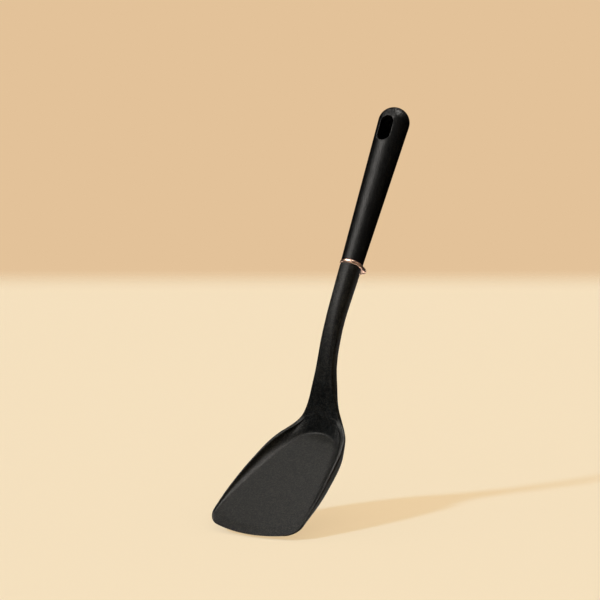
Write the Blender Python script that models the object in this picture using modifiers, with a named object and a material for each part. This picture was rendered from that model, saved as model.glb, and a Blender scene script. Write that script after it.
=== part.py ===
"""A wok spatula: a moulded turner head with its own shaft, a metal rest ring and a tapered round handle.

The origin is the middle of the hang hole. X runs across the blade, the open side of the dish looks
towards -Y, and +Z runs up the handle. The shaft leaves the ring straight, sweeps back, and then turns
forward into a shallow dish, whose low walls run out at a bowed front edge.
"""

import math

import bmesh
import bpy
import numpy as np
from mathutils import Matrix

# Clearance between pieces that touch, and how far cutters and joined shapes run past a surface
GAP = 0.0003
OVERRUN = 0.0040

# Handle
HOLE_TO_TOP = 0.0218
HOLE_TO_RING = 0.1102
HANDLE_FOOT_RADIUS = 0.0084
HANDLE_TOP_RADIUS = 0.0121
HANDLE_FOOT_ROUND = 0.0005
HANDLE_SIDES = 48
DOME_STEPS = 10

# Hang hole, and the front face of the handle's end
HOLE_WIDTH = 0.0088
HOLE_LENGTH = 0.0188
HOLE_LIP = 0.0012
LIP_STEPS = 4
HOLE_END_STEPS = 12
FACE_DEPTH = 0.0105
FACE_LOWER_END = 0.0020
FACE_BEND_START = 0.0080
FACE_BEND_RADIUS = 0.0300
FACE_STEPS = 8

# Core inside the handle
CORE_LENGTH = 0.0880
CORE_FOOT_RADIUS = 0.0064
CORE_TOP_RADIUS = 0.0082
CORE_TOP_ROUND = 0.0027
CORE_GROOVE_DEPTH = 0.0007
CORE_GROOVE_WIDTH = 0.0050
CORE_GROOVE_COUNT = 3
CORE_GROOVE_FIRST = 0.0200
CORE_GROOVE_PITCH = 0.0250
CORE_SIDES = 32

# Spigot and barbed tang, which hold the head in the core
SPIGOT_RADIUS = 0.0046
SPIGOT_DEPTH = 0.0050
TANG_LENGTH = 0.0480
TANG_WIDTH = 0.0070
TANG_THICKNESS = 0.0044
TANG_NOSE = 0.0040
TANG_NOSE_WIDTH_SHARE = 0.5
BARB_COUNT = 4
BARB_HEIGHT = 0.0007
BARB_PITCH = 0.0080

# Rest ring: a plate that follows the handle in front and widens into a rest behind
RING_THICKNESS = 0.0022
RING_PROUD_AT_SIDES = 0.00025
RING_PROUD_IN_FRONT = 0.0007
REST_RADIUS = 0.0082
REST_SETBACK = 0.0072
RING_EDGE_ROUND = 0.0006
RING_EDGE_STEPS = 3
RING_ARC_STEPS = 28

# Spine of the shaft and the blade, measured down from the ring
SHAFT_STRAIGHT = 0.0339
SWEEP_BACK = math.radians(25.2)
SWEEP_BACK_RADIUS = 0.1374
NECK_STRAIGHT = 0.0222
BLADE_TILT = math.radians(31.1)
HEEL_RADIUS = 0.0220
FLOOR_LENGTH = 0.1023

# Half widths of the head
SHAFT_TOP_HALF_WIDTH = 0.0081
SHAFT_UPPER_HALF_WIDTH = 0.0074
SHAFT_LOWER_HALF_WIDTH = 0.0069
NECK_HALF_WIDTH = 0.0089
HEEL_HALF_WIDTH = 0.0163
SHOULDER_HALF_WIDTH = 0.0252
REAR_HALF_WIDTH = 0.0312
MID_HALF_WIDTH = 0.03455
FORE_HALF_WIDTH = 0.03735
FRONT_HALF_WIDTH = 0.0376
FRONT_CORNER_RADIUS = 0.0088
FRONT_BOW = 0.0080
CORNER_DROOP = 0.0009
CORNER_DROOP_REACH = 0.0140

# Where along the head those half widths hold
SHAFT_UPPER_STATION = 0.0160
NECK_LEAD = 0.0250
SHAFT_LOWER_SHARE = 0.46
SHOULDER_SHARE = 0.12
REAR_SHARE = 0.26
MID_SHARE = 0.45
FORE_SHARE = 0.72
BOW_START_SHARE = 0.3

# Heights of the rim and of the underside, from the spine
NECK_FRONT_RISE = 0.0049
NECK_BACK_RISE = 0.0039
HEEL_RIM_RISE = 0.0036
SHOULDER_RIM_RISE = 0.0062
MID_RIM_RISE = 0.0058
FORE_RIM_RISE = 0.0034
FRONT_RIM_RISE = 0.0005
FLOOR_THICKNESS = 0.0024
FRONT_EDGE_THICKNESS = 0.0010
BACK_LEAD = 0.0200
WALL_PEAK_SHARE = 0.15
MID_WALL_SHARE = 0.38
FORE_WALL_SHARE = 0.7
FLOOR_THINNED_SHARE = 0.25
EDGE_THINNING_SHARE = 0.6
CORNER_HEIGHT_SHARE = 0.15

# Rim width and wall angles
NECK_RIM_WIDTH = 0.0025
SHOULDER_RIM_WIDTH = 0.0045
MID_RIM_WIDTH = 0.0020
FRONT_RIM_WIDTH = 0.0013
RIM_LEAD = 0.0400
MID_RIM_SHARE = 0.4
INNER_DRAFT = math.radians(14)
SHOULDER_FLARE = math.radians(22)
SIDE_FLARE = math.radians(2)
FLARE_LEAD = 0.0300
FLARE_START_SHARE = 0.1

# Fillets of the dish
DISH_FILLET = 0.0072
UNDER_FILLET = 0.0011
FLOOR_PROBE_SHARE = 0.8
FILLET_WALL_SHARE = 0.9
RIM_ROUND_SHARE = 0.42
INNER_EDGE_SHARE = 0.1
OUTER_EDGE_SHARE = 0.3
UNDER_EDGE_SHARE = 0.6

# Ramp from the neck down to the floor of the dish, with a rounded rear end
RAMP_LEAD = 0.0048
RAMP_END_RADIUS = 0.0143
RAMP_END_ONSET = 0.0150
RAMP_SOFTNESS = 0.0015
STEEPEST_RAMP = math.radians(70)

# The shaft's rounded section, its runs of points in degrees, and where it turns into the dish's
SECTION_SQUARENESS = 2.15
SECTION_RUNS_DEG = ((90, 60), (60, 48), (46, 38), (34, 24), (-25, -55), (-55, -90))
ROUND_UNTIL = 0.0820
FLAT_FROM = 0.0030
SHAFT_DEPTH_SHARE = 0.9
SHOULDER_ROUND = 0.0006
SHOULDER_STEPS = 3

# Mesh density of the head: points over half a section, and sections along the head
FLOOR_POINTS = 7
FILLET_POINTS = 5
RIM_POINTS = 4
SHAFT_ROWS = 13
HEEL_ROWS = 26
BLADE_ROWS = 10
CORNER_ROWS = 8
HEEL_ROWS_LEAD = 0.0300
HEEL_ROWS_TAIL = 0.0200

SMOOTH_ANGLE = math.radians(35)
MERGE_DISTANCE = 0.00001

# Colour, roughness and metallic share of each material
BLACK_NYLON = ((0.012, 0.012, 0.011, 1.0), 0.5, 0.0)
ROSE_METAL = ((0.86, 0.55, 0.42, 1.0), 0.25, 1.0)
CORE_PLASTIC = ((0.03, 0.03, 0.03, 1.0), 0.6, 0.0)

RING_Z = -HOLE_TO_RING
SEAT = RING_THICKNESS / 2 + GAP
HANDLE_FOOT_Z = RING_Z + SEAT
BEND_ANGLE = SWEEP_BACK + BLADE_TILT
SWEEP_LENGTH = SWEEP_BACK * SWEEP_BACK_RADIUS
HEEL_LENGTH = BEND_ANGLE * HEEL_RADIUS
HEEL_START = SHAFT_STRAIGHT + SWEEP_LENGTH + NECK_STRAIGHT
BLADE_LENGTH = HEEL_LENGTH + FLOOR_LENGTH
FRONT_STATION = HEEL_START + BLADE_LENGTH


def clear_scene():
    for old in list(bpy.data.objects):
        bpy.data.objects.remove(old, do_unlink=True)


def make_collection(name):
    group = bpy.data.collections.new(name)
    bpy.context.scene.collection.children.link(group)
    return group


def make_material(name, colour, roughness, metallic):
    material = bpy.data.materials.new(name)
    material.use_nodes = True
    shader = material.node_tree.nodes["Principled BSDF"]
    shader.inputs["Base Color"].default_value = colour
    shader.inputs["Roughness"].default_value = roughness
    shader.inputs["Metallic"].default_value = metallic
    material.diffuse_color = colour
    return material


def mesh_from_bmesh(name, shape):
    bmesh.ops.recalc_face_normals(shape, faces=shape.faces)
    mesh = bpy.data.meshes.new(name)
    shape.to_mesh(mesh)
    shape.free()
    mesh.shade_smooth()
    mesh.set_sharp_from_angle(angle=SMOOTH_ANGLE)
    return mesh


def add_piece(mesh, group, material):
    piece = bpy.data.objects.new(mesh.name, mesh)
    group.objects.link(piece)
    mesh.materials.append(material)
    return piece


def add_helper(mesh, helpers):
    """A shape that only cuts or joins a piece, kept out of the picture."""
    helper = bpy.data.objects.new(mesh.name, mesh)
    helpers.objects.link(helper)
    helper.hide_render = True
    helper.display_type = "WIRE"
    return helper


def add_boolean(piece, helper, operation):
    boolean = piece.modifiers.new(helper.name, "BOOLEAN")
    boolean.operation = operation
    boolean.object = helper
    boolean.solver = "EXACT"


def add_turning(piece, sides):
    """Turns a piece's profile about Z."""
    turning = piece.modifiers.new("Turned about Z", "SCREW")
    turning.steps = sides
    turning.render_steps = sides
    turning.use_merge_vertices = True
    turning.merge_threshold = MERGE_DISTANCE
    return piece


def add_thickness(piece, thickness):
    """Thickens a piece's flat outline by the same amount on both sides."""
    plate = piece.modifiers.new("Thickness", "SOLIDIFY")
    plate.thickness = thickness
    plate.offset = 0
    return piece


def profile_mesh(name, profile):
    """A profile for turning: (radius, height) points from the axis, down the outer side, to the axis."""
    shape = bmesh.new()
    points = [shape.verts.new((radius, 0, height)) for radius, height in profile]
    for point, following in zip(points, points[1:]):
        shape.edges.new((point, following))
    return mesh_from_bmesh(name, shape)


def flat_mesh(name, outline):
    """One flat face with the given outline."""
    shape = bmesh.new()
    shape.faces.new([shape.verts.new(point) for point in outline])
    return mesh_from_bmesh(name, shape)


def cylinder_mesh(name, radius, bottom, top):
    shape = bmesh.new()
    bmesh.ops.create_cone(
        shape,
        cap_ends=True,
        segments=CORE_SIDES,
        radius1=radius,
        radius2=radius,
        depth=top - bottom,
        matrix=Matrix.Translation((0, 0, (top + bottom) / 2)),
    )
    return mesh_from_bmesh(name, shape)


def box_mesh(name, low, high):
    shape = bmesh.new()
    middle = Matrix.Translation([(a + b) / 2 for a, b in zip(low, high)])
    stretch = Matrix.Diagonal([b - a for a, b in zip(low, high)] + [1])
    bmesh.ops.create_cube(shape, size=1, matrix=middle @ stretch)
    return mesh_from_bmesh(name, shape)


def skin(shape, loops):
    """Adds faces between closed loops of points, and gives the loops' vertices."""
    rows = [[shape.verts.new(point) for point in loop] for loop in loops]
    for row, following in zip(rows, rows[1:]):
        count = len(row)
        for i in range(count):
            after = (i + 1) % count
            shape.faces.new((row[i], row[after], following[after], following[i]))
    return rows


def loft(name, loops):
    """A closed solid through loops of points, with flat ends."""
    shape = bmesh.new()
    rows = skin(shape, loops)
    shape.faces.new(rows[0])
    shape.faces.new(rows[-1])
    return mesh_from_bmesh(name, shape)


def quarter_arc(radius, steps):
    """(inward, along) offsets of a quarter round, from its flat side to its outer side."""
    angles = [math.pi / 2 * step / steps for step in range(steps + 1)]
    return [(radius * (1 - math.sin(angle)), radius * (1 - math.cos(angle))) for angle in angles]


def ease(share):
    share = min(max(share, 0), 1)
    return share * share * (3 - 2 * share)


def blend(start, end, share):
    return start + (end - start) * share


def smooth_through(points, place):
    """Value at a place on a smooth curve through (place, value) points."""
    places = [point[0] for point in points]
    values = [point[1] for point in points]
    place = min(max(place, places[0]), places[-1])
    steps = np.diff(places)
    slopes = np.diff(values) / steps
    inner = (slopes[:-1] * steps[1:] + slopes[1:] * steps[:-1]) / (steps[1:] + steps[:-1])
    tangents = np.concatenate([slopes[:1], inner, slopes[-1:]])
    i = min(int(np.searchsorted(places, place, side="right")) - 1, len(steps) - 1)
    t = (place - places[i]) / steps[i]
    leaving = (1 + 2 * t) * values[i] + t * steps[i] * tangents[i]
    arriving = (3 - 2 * t) * values[i + 1] - (1 - t) * steps[i] * tangents[i + 1]
    return leaving * (1 - t) ** 2 + arriving * t**2


def rounded(start, corner, end, count):
    """Points of a curve from start to end that a corner point pulls."""
    t = np.linspace(0, 1, count)[:, None]
    return (1 - t) ** 2 * start + 2 * t * (1 - t) * corner + t**2 * end


def spine_point(station):
    """Y, Z and turn of the spine at a distance below the ring, along straights and arcs."""
    runs = (
        (SHAFT_STRAIGHT, 0),
        (SWEEP_LENGTH, SWEEP_BACK),
        (NECK_STRAIGHT, 0),
        (HEEL_LENGTH, -BEND_ANGLE),
        (FLOOR_LENGTH, 0),
    )
    y, z, turn = 0, RING_Z, 0
    left = station
    for length, bend in runs:
        run = min(left, length)
        if bend:
            curvature = bend / length
            after = turn + curvature * run
            y += (math.cos(turn) - math.cos(after)) / curvature
            z -= (math.sin(after) - math.sin(turn)) / curvature
            turn = after
        else:
            y += run * math.sin(turn)
            z -= run * math.cos(turn)
        left -= run
    return y, z, turn


def on_blade(share):
    """Distance below the ring of a share of the blade, from the heel's start to the front edge."""
    return HEEL_START + share * BLADE_LENGTH


def half_width(station):
    places = (
        (0, SHAFT_TOP_HALF_WIDTH),
        (SHAFT_UPPER_STATION, SHAFT_UPPER_HALF_WIDTH),
        (SHAFT_LOWER_SHARE * HEEL_START, SHAFT_LOWER_HALF_WIDTH),
        (HEEL_START - NECK_LEAD, NECK_HALF_WIDTH),
        (HEEL_START, HEEL_HALF_WIDTH),
        (on_blade(SHOULDER_SHARE), SHOULDER_HALF_WIDTH),
        (on_blade(REAR_SHARE), REAR_HALF_WIDTH),
        (on_blade(MID_SHARE), MID_HALF_WIDTH),
        (on_blade(FORE_SHARE), FORE_HALF_WIDTH),
        (FRONT_STATION, FRONT_HALF_WIDTH),
    )
    return smooth_through(places, station)


def rim_rise(station):
    places = (
        (HEEL_START - NECK_LEAD, NECK_FRONT_RISE),
        (HEEL_START, HEEL_RIM_RISE),
        (on_blade(WALL_PEAK_SHARE), SHOULDER_RIM_RISE),
        (on_blade(MID_WALL_SHARE), MID_RIM_RISE),
        (on_blade(FORE_WALL_SHARE), FORE_RIM_RISE),
        (FRONT_STATION, FRONT_RIM_RISE),
    )
    return smooth_through(places, station)


def under_rise(station):
    places = (
        (HEEL_START - BACK_LEAD, NECK_BACK_RISE),
        (on_blade(FLOOR_THINNED_SHARE), FLOOR_THICKNESS),
    )
    thinning = on_blade(EDGE_THINNING_SHARE)
    to_edge = ease((station - thinning) / (FRONT_STATION - thinning))
    return blend(smooth_through(places, station), FRONT_EDGE_THICKNESS, to_edge)


def rim_width(station):
    places = (
        (HEEL_START - RIM_LEAD, NECK_RIM_WIDTH),
        (on_blade(SHOULDER_SHARE), SHOULDER_RIM_WIDTH),
        (on_blade(MID_RIM_SHARE), MID_RIM_WIDTH),
        (FRONT_STATION, FRONT_RIM_WIDTH),
    )
    return smooth_through(places, station)


def wall_flare(station):
    start = on_blade(FLARE_START_SHARE)
    along = ease((station - start) / (on_blade(MID_SHARE) - start))
    onset = ease((station - HEEL_START + FLARE_LEAD) / FLARE_LEAD)
    return blend(SHOULDER_FLARE, SIDE_FLARE, along) * onset


def floor_rise(station, across):
    """Height of the open side above the spine: a ramp from the neck that meets a flat floor."""
    onset = ease((station - HEEL_START + RAMP_END_ONSET) / RAMP_END_ONSET)
    lag = np.square(across) / (2 * RAMP_END_RADIUS) * onset
    wanted = (station - HEEL_START + RAMP_LEAD - lag) / HEEL_RADIUS
    turned_by = np.clip(wanted, 0, STEEPEST_RAMP)
    ramp = HEEL_RADIUS - (HEEL_RADIUS - NECK_FRONT_RISE) / np.cos(turned_by)
    ramp = ramp - np.maximum(wanted - STEEPEST_RAMP, 0) * HEEL_RADIUS
    to_floor = min(max(BEND_ANGLE - (station - HEEL_START) / HEEL_RADIUS, 0), STEEPEST_RAMP)
    floor = HEEL_RADIUS - HEEL_RADIUS / math.cos(to_floor)
    return (ramp + floor + np.sqrt((ramp - floor) ** 2 + RAMP_SOFTNESS**2)) / 2


def into_corner(station):
    """How far round the front corner a section lies: the share of the corner's radius left across."""
    past = max(station - FRONT_STATION + FRONT_CORNER_RADIUS, 0) / FRONT_CORNER_RADIUS
    return math.sqrt(max(1 - past**2, 0))


def dish_section(station, width):
    """Right half of a section through the dish: floor, wall, rim, outer side and underside."""
    rise = rim_rise(station) * max(into_corner(station), CORNER_HEIGHT_SHARE)
    under = under_rise(station)
    rim = rim_width(station)
    floor = min(float(floor_rise(station, FLOOR_PROBE_SHARE * width)), rise - GAP)
    inner_top = np.array([width - rim, rise])
    foot = np.array([width - rim - (rise - floor) * math.tan(INNER_DRAFT), floor])
    wall_height = np.linalg.norm(inner_top - foot)
    up = (inner_top - foot) / wall_height
    fillet = min(DISH_FILLET, wall_height, FLOOR_PROBE_SHARE * foot[0])
    across = np.linspace(0, foot[0] - fillet, FLOOR_POINTS + 1)
    floor_points = np.stack([across, np.minimum(floor_rise(station, across), rise)], axis=1)
    wall_points = rounded(floor_points[-1], foot, foot + up * fillet * FILLET_WALL_SHARE, FILLET_POINTS)
    rim_round = RIM_ROUND_SHARE * rim
    inner_start = inner_top - up * min(rim_round, INNER_EDGE_SHARE * wall_height)
    inner_edge = rounded(inner_start, inner_top, inner_top + [rim_round, 0], RIM_POINTS)
    outer_top = np.array([width, rise])
    heel = np.array([width - (rise + under) * math.tan(wall_flare(station)), -under])
    side_height = np.linalg.norm(heel - outer_top)
    down = (heel - outer_top) / side_height
    outer_end = outer_top + down * min(rim_round, OUTER_EDGE_SHARE * side_height)
    outer_edge = rounded(outer_top - [rim_round, 0], outer_top, outer_end, RIM_POINTS)
    under_round = min(UNDER_FILLET, UNDER_EDGE_SHARE * side_height)
    under_edge = rounded(heel - down * under_round, heel, heel - [under_round, 0], FILLET_POINTS)
    underside = np.linspace(under_edge[-1], [0, -under], FLOOR_POINTS + 1)[1:]
    return np.concatenate([floor_points[:-1], wall_points, inner_edge, outer_edge, under_edge, underside])


def shaft_section(station, width):
    """Right half of the shaft's rounded section, with its points spread as in the dish's section."""
    neck_depth = (NECK_FRONT_RISE + NECK_BACK_RISE) / 2
    depth = blend(SHAFT_TOP_HALF_WIDTH, neck_depth, ease(station / (SHAFT_DEPTH_SHARE * HEEL_START)))
    counts = (FLOOR_POINTS + 1, FILLET_POINTS, RIM_POINTS, RIM_POINTS, FILLET_POINTS, FLOOR_POINTS + 1)
    runs = [np.linspace(*ends, count) for ends, count in zip(SECTION_RUNS_DEG, counts)]
    angles = np.radians(np.concatenate([runs[0][:-1], *runs[1:-1], runs[-1][1:]]))
    power = 2 / SECTION_SQUARENESS
    across = width * np.abs(np.cos(angles)) ** power
    rise = depth * np.sign(np.sin(angles)) * np.abs(np.sin(angles)) ** power
    return np.stack([across, rise], axis=1)


def head_section(station):
    width = half_width(station) - FRONT_CORNER_RADIUS * (1 - into_corner(station))
    section = shaft_section(station, width)
    flatness = ease((station - HEEL_START + ROUND_UNTIL) / (ROUND_UNTIL - FLAT_FROM))
    if flatness > 0:
        section = blend(section, dish_section(station, width), flatness)
    return section


def placed(station, section):
    """A closed loop in space from the right half of a section, set on the spine and bowed in front."""
    width = half_width(station)
    bow_start = on_blade(BOW_START_SHARE)
    bow = FRONT_BOW * ease((station - bow_start) / (FRONT_STATION - bow_start))
    droop = CORNER_DROOP * ease((station - FRONT_STATION + CORNER_DROOP_REACH) / CORNER_DROOP_REACH)
    right = []
    for across, rise in section:
        share = across / width
        y, z, turn = spine_point(station - bow * share**2)
        rise -= droop * share**4
        right.append((float(across), y - rise * math.cos(turn), z - rise * math.sin(turn)))
    left = [(-x, y, z) for x, y, z in reversed(right[1:-1])]
    return right + left


def head_loops():
    """Sections from the seat under the ring to the front edge, closer at the heel and the corners."""
    heel_from = HEEL_START - HEEL_ROWS_LEAD
    heel_to = HEEL_START + HEEL_LENGTH + HEEL_ROWS_TAIL
    corner_from = FRONT_STATION - FRONT_CORNER_RADIUS
    corner = np.sin(np.linspace(0, math.pi / 2, CORNER_ROWS)) * FRONT_CORNER_RADIUS
    runs = (
        np.linspace(SEAT + SHOULDER_ROUND, heel_from, SHAFT_ROWS, endpoint=False),
        np.linspace(heel_from, heel_to, HEEL_ROWS, endpoint=False),
        np.linspace(heel_to, corner_from, BLADE_ROWS, endpoint=False),
        corner_from + corner,
    )
    loops = []
    for inward, along in quarter_arc(SHOULDER_ROUND, SHOULDER_STEPS)[:-1]:
        station = SEAT + along
        loops.append(placed(station, head_section(station) * (1 - inward / SHAFT_TOP_HALF_WIDTH)))
    for station in np.concatenate(runs):
        loops.append(placed(station, head_section(station)))
    return loops


def head_mesh():
    shape = bmesh.new()
    rows = skin(shape, head_loops())
    shape.faces.new(rows[0])
    front = rows[-1]
    half = len(front) // 2
    for side in (front[: half + 1], [front[0], *reversed(front[half:])]):
        for i in range(half // 2):
            shape.faces.new((side[i], side[i + 1], side[half - i - 1], side[half - i]))
    return mesh_from_bmesh("turner_head", shape)


def tang_outline(bottom):
    """Outline of a flat tang whose edges carry barbs that point back down the handle."""
    half = TANG_WIDTH / 2
    inner = half - BARB_HEIGHT
    right = [(inner, 0)]
    for barb in range(BARB_COUNT):
        tip = BARB_PITCH * (barb + 1)
        right.append((half, tip))
        right.append((inner, tip + BARB_HEIGHT))
    right.append((inner, TANG_LENGTH - TANG_NOSE))
    right.append((half * TANG_NOSE_WIDTH_SHARE, TANG_LENGTH))
    outline = right + [(-x, z) for x, z in reversed(right)]
    return [(x, 0, bottom + z) for x, z in outline]


def make_head(group, helpers, material):
    head = add_piece(head_mesh(), group, material)
    spigot_top = HANDLE_FOOT_Z + SPIGOT_DEPTH
    spigot = cylinder_mesh("spigot", SPIGOT_RADIUS, RING_Z - SEAT - OVERRUN, spigot_top)
    add_boolean(head, add_helper(spigot, helpers), "UNION")
    tang = add_helper(flat_mesh("tang", tang_outline(spigot_top - GAP)), helpers)
    add_boolean(head, add_thickness(tang, TANG_THICKNESS), "UNION")
    return head


def ring_outline():
    """An oval that follows the handle, joined by straight flanks to the round rest behind it."""
    side = HANDLE_FOOT_RADIUS + RING_PROUD_AT_SIDES
    front = HANDLE_FOOT_RADIUS + RING_PROUD_IN_FRONT
    flank = math.acos((side - REST_RADIUS) / REST_SETBACK)
    rest = np.linspace(-flank, flank, RING_ARC_STEPS)
    oval = np.linspace(flank, 2 * math.pi - flank, RING_ARC_STEPS)
    outline = [(REST_RADIUS * math.sin(a), REST_SETBACK + REST_RADIUS * math.cos(a), RING_Z) for a in rest]
    return outline + [(side * math.sin(a), front * math.cos(a), RING_Z) for a in oval]


def make_ring(group, helpers, material):
    ring = add_piece(flat_mesh("rest_ring", ring_outline()), group, material)
    add_thickness(ring, RING_THICKNESS)
    edges = ring.modifiers.new("Rounded edges", "BEVEL")
    edges.width = RING_EDGE_ROUND
    edges.segments = RING_EDGE_STEPS
    edges.limit_method = "ANGLE"
    edges.angle_limit = SMOOTH_ANGLE
    bore = cylinder_mesh("ring_bore", SPIGOT_RADIUS + GAP, RING_Z - OVERRUN, RING_Z + OVERRUN)
    add_boolean(ring, add_helper(bore, helpers), "DIFFERENCE")
    return ring


def core_profile(grown, bottom):
    """Outline of the core with its keying grooves, grown by a clearance for the hollow round it."""
    foot = HANDLE_FOOT_Z
    top = foot + CORE_LENGTH + grown
    side = CORE_TOP_RADIUS + grown
    profile = [(0, top)]
    for inward, down in quarter_arc(CORE_TOP_ROUND, LIP_STEPS):
        profile.append((side - inward, top - down))
    taper = (CORE_TOP_RADIUS - CORE_FOOT_RADIUS) / CORE_LENGTH
    for groove in reversed(range(CORE_GROOVE_COUNT)):
        low = foot + CORE_GROOVE_FIRST + CORE_GROOVE_PITCH * groove
        high = low + CORE_GROOVE_WIDTH
        radius = CORE_FOOT_RADIUS + taper * (low - foot) + grown
        profile.append((radius, high - grown))
        profile.append((radius - CORE_GROOVE_DEPTH, high - CORE_GROOVE_DEPTH - grown))
        profile.append((radius - CORE_GROOVE_DEPTH, low + CORE_GROOVE_DEPTH + grown))
        profile.append((radius, low + grown))
    return profile + [(CORE_FOOT_RADIUS + grown, bottom), (0, bottom)]


def make_handle_core(group, helpers, material):
    core = add_piece(profile_mesh("handle_core", core_profile(0, HANDLE_FOOT_Z)), group, material)
    add_turning(core, CORE_SIDES)
    socket_top = HANDLE_FOOT_Z + SPIGOT_DEPTH + GAP
    socket = cylinder_mesh("spigot_socket", SPIGOT_RADIUS + GAP, HANDLE_FOOT_Z - OVERRUN, socket_top)
    add_boolean(core, add_helper(socket, helpers), "DIFFERENCE")
    half_x = TANG_WIDTH / 2 + GAP
    half_y = TANG_THICKNESS / 2 + GAP
    slot_top = socket_top + TANG_LENGTH
    slot = box_mesh("tang_slot", (-half_x, -half_y, HANDLE_FOOT_Z), (half_x, half_y, slot_top))
    add_boolean(core, add_helper(slot, helpers), "DIFFERENCE")
    return core


def handle_profile():
    """Outline of the handle: a dome, a long taper and a rounded foot."""
    dome_centre = HOLE_TO_TOP - HANDLE_TOP_RADIUS
    profile = [(0, HOLE_TO_TOP)]
    for step in range(1, DOME_STEPS + 1):
        angle = math.pi / 2 * step / DOME_STEPS
        height = dome_centre + HANDLE_TOP_RADIUS * math.cos(angle)
        profile.append((HANDLE_TOP_RADIUS * math.sin(angle), height))
    for inward, up in reversed(quarter_arc(HANDLE_FOOT_ROUND, LIP_STEPS)):
        profile.append((HANDLE_FOOT_RADIUS - inward, HANDLE_FOOT_Z + up))
    return profile + [(0, HANDLE_FOOT_Z)]


def slot_loop(half, y):
    """Round-ended outline of the hang hole, at a place through the handle."""
    reach = (HOLE_LENGTH - HOLE_WIDTH) / 2
    loop = []
    for end in (1, -1):
        for step in range(HOLE_END_STEPS + 1):
            angle = math.pi * step / HOLE_END_STEPS
            x = end * half * math.cos(angle)
            z = end * (reach + half * math.sin(angle))
            loop.append((x, y, z))
    return loop


def hole_mesh():
    """Cutter for the hang hole, whose front edge is rounded by a lip."""
    half = HOLE_WIDTH / 2
    far = HANDLE_TOP_RADIUS + OVERRUN
    loops = [slot_loop(half + HOLE_LIP, -far)]
    for inward, along in quarter_arc(HOLE_LIP, LIP_STEPS):
        loops.append(slot_loop(half + HOLE_LIP - along, inward - FACE_DEPTH))
    loops.append(slot_loop(half, far))
    return loft("hang_hole", loops)


def face_outline():
    """Side view of what the handle's front face cuts off: flat beside the hole, curved back above it."""
    top = HOLE_TO_TOP + OVERRUN
    outline = [(0, -FACE_DEPTH, -FACE_LOWER_END)]
    for height in np.linspace(FACE_BEND_START, top, FACE_STEPS):
        fall = (height - FACE_BEND_START) ** 2 / (2 * FACE_BEND_RADIUS)
        outline.append((0, fall - FACE_DEPTH, float(height)))
    far = -HANDLE_TOP_RADIUS - OVERRUN
    return outline + [(0, far, top), (0, far, -FACE_LOWER_END)]


def make_handle_grip(group, helpers, material):
    grip = add_piece(profile_mesh("handle_grip", handle_profile()), group, material)
    add_turning(grip, HANDLE_SIDES)
    hollow = add_helper(profile_mesh("core_hollow", core_profile(GAP, HANDLE_FOOT_Z - OVERRUN)), helpers)
    face = add_helper(flat_mesh("front_face", face_outline()), helpers)
    hole = add_helper(hole_mesh(), helpers)
    add_turning(hollow, CORE_SIDES)
    add_thickness(face, 2 * (HANDLE_TOP_RADIUS + OVERRUN))
    for cutter in (hollow, face, hole):
        add_boolean(grip, cutter, "DIFFERENCE")
    return grip


def main():
    clear_scene()
    group = make_collection("wok_spatula")
    helpers = make_collection("cutters")
    nylon = make_material("black_nylon", *BLACK_NYLON)
    metal = make_material("rose_metal", *ROSE_METAL)
    core_plastic = make_material("core_plastic", *CORE_PLASTIC)
    make_head(group, helpers, nylon)
    make_ring(group, helpers, metal)
    make_handle_core(group, helpers, core_plastic)
    make_handle_grip(group, helpers, nylon)


main()
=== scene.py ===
"""Looks of the wok spatula: finer pieces, nylon and rose-metal materials, stage, lights and camera.

The origin is the middle of the hang hole, +Z runs up the handle and the open side of the dish looks
towards -Y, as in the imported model. Lengths are in metres.
"""

import math

import bmesh
import bpy
import numpy as np
from mathutils import Matrix, Vector

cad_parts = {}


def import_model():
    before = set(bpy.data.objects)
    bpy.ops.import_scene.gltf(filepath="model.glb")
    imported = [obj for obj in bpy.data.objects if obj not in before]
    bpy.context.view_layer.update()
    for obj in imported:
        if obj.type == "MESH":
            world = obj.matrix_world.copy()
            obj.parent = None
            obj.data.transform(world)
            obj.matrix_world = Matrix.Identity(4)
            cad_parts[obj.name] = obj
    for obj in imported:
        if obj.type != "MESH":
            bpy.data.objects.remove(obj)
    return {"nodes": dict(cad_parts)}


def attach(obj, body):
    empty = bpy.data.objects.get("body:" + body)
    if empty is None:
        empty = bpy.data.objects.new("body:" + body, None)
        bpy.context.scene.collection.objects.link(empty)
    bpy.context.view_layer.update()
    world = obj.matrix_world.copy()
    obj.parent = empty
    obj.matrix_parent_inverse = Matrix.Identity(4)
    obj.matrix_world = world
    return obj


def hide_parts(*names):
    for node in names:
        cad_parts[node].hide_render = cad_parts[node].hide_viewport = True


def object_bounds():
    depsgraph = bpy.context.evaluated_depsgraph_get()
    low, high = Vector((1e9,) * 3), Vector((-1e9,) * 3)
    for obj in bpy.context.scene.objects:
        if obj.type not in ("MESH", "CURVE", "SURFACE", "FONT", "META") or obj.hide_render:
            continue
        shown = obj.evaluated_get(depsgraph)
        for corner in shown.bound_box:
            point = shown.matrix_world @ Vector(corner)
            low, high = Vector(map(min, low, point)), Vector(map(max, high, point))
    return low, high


# Clearance between neighbouring pieces, and how far cutters run past a surface
GAP = 0.0003
OVERRUN = 0.0040

# Handle and its hang hole
HOLE_TO_TOP = 0.0218
HOLE_TO_RING = 0.1102
HANDLE_FOOT_RADIUS = 0.0084
HANDLE_TOP_RADIUS = 0.0121
HANDLE_FOOT_ROUND = 0.0005
HOLE_WIDTH = 0.0104
HOLE_LENGTH = 0.0204
HOLE_LIP = 0.0011
FACE_DEPTH = 0.0116
FACE_LEAN = math.radians(3.0)
FACE_BEND_START = 0.0080
FACE_BEND_RADIUS = 0.0260
FACE_CREASE_SOFTNESS = 0.0005
FACE_ROWS_REACH = 0.0150
HANDLE_SIDES = 192
HANDLE_ROWS = 70
FACE_ROWS = 64
DOME_ROWS = 48
HOLE_END_STEPS = 28
HOLE_SIDE_STEPS = 12
LIP_STEPS = 8

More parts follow.
